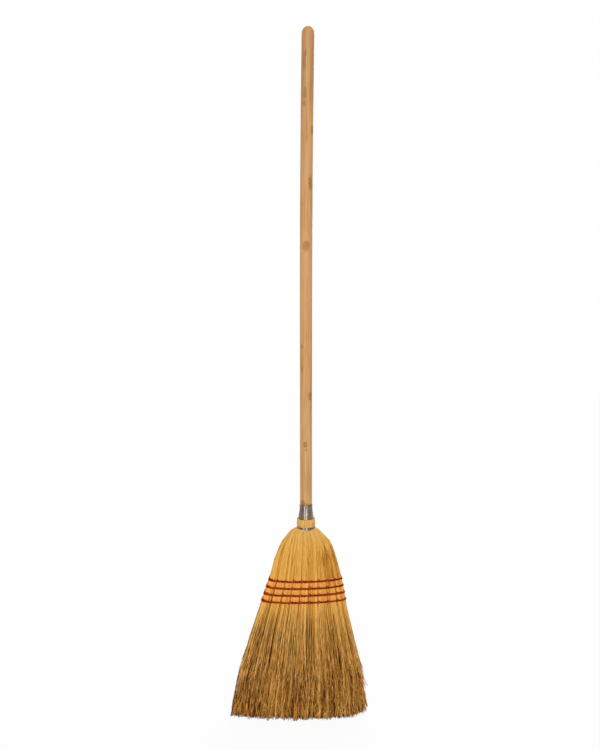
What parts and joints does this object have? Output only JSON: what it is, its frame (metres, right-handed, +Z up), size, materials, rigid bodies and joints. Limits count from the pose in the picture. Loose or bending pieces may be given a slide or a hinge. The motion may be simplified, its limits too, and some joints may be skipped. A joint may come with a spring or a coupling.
{
  "type": "straw broom",
  "caption": "Upright straw broom: a long round wooden handle, a metal cone at the neck and a flat, flared head of straw held by rows of red stitching.",
  "frame": {"origin": "on the floor, at the middle of the footprint of the straw's tips", "axes": "+Z up along the handle, X across the flat head, Y through its thickness; the front faces -Y"},
  "size_m": [0.2723, 0.0551, 1.4],
  "materials": {
    "wood": "sanded, thinly lacquered",
    "tin": "thin tinned sheet, satin",
    "wire": "galvanised",
    "straw": "dry straw, slightly glossy stems",
    "twine": "twisted red twine, matt"
  },
  "bodies": {
    "root": {"handle": "wood", "cone": "tin", "cone_nail_front": "wire", "cone_nail_back": "wire", "inner_straw": "straw", "inner_wire": "wire", "neck_winding": "wire", "straw_front_1": "straw", "straw_front_2": "straw", "straw_front_3": "straw", "straw_front_4": "straw", "straw_front_5": "straw", "straw_front_6": "straw", "straw_front_7": "straw", "straw_front_8": "straw", "straw_front_9": "straw", "straw_back_1": "straw", "straw_back_2": "straw", "straw_back_3": "straw", "straw_back_4": "straw", "straw_back_5": "straw", "straw_back_6": "straw", "straw_back_7": "straw", "straw_back_8": "straw", "straw_back_9": "straw", "stitch_row_1": "twine", "stitch_row_2": "twine", "stitch_row_3": "twine", "stitch_row_4": "twine"}
  },
  "joints": []
}
